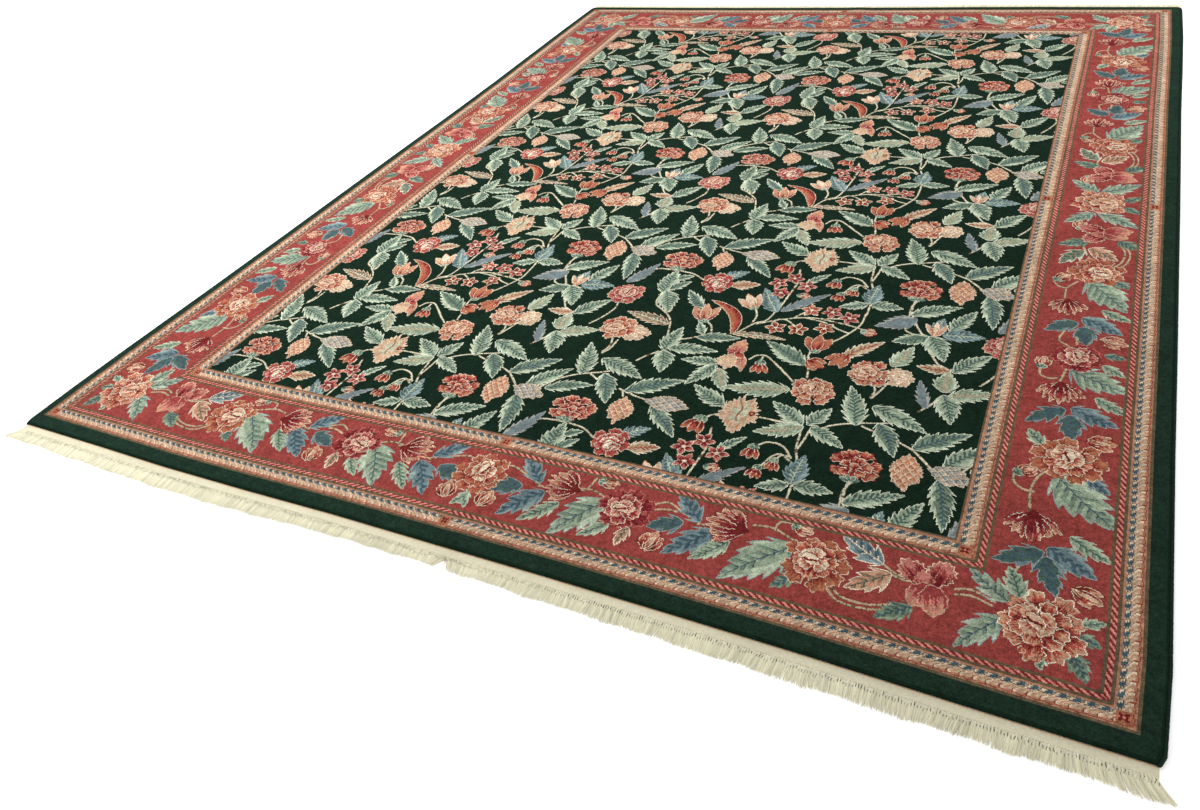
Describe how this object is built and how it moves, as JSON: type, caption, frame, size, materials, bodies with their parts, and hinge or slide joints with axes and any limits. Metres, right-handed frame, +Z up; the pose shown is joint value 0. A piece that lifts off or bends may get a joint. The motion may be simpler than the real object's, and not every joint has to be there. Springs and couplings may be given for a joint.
{
  "type": "knotted wool area rug",
  "caption": "Large rectangular hand-knotted rug lying flat, with overcast sides, flat-woven end strips and a short knotted fringe at each end.",
  "frame": {"origin": "middle of the rug's footprint, on its flat underside", "axes": "+X across the rug, +Y along it from the near fringe to the far fringe, +Z up out of the pile"},
  "size_m": [2.7794, 3.7378, 0.0121],
  "materials": {
    "wool_pile": "dense cut wool pile, matt with a soft sheen",
    "side_cord": "tightly wrapped wool, matt",
    "cotton_kilim": "plain flat weave in undyed cotton, matt",
    "cotton_fringe": "loose undyed cotton warps, matt"
  },
  "bodies": {
    "root": {"pile": "wool_pile", "side_cord_left": "side_cord", "side_cord_right": "side_cord", "kilim_front": "cotton_kilim", "kilim_back": "cotton_kilim", "fringe_front": "cotton_fringe", "fringe_back": "cotton_fringe"}
  },
  "joints": []
}
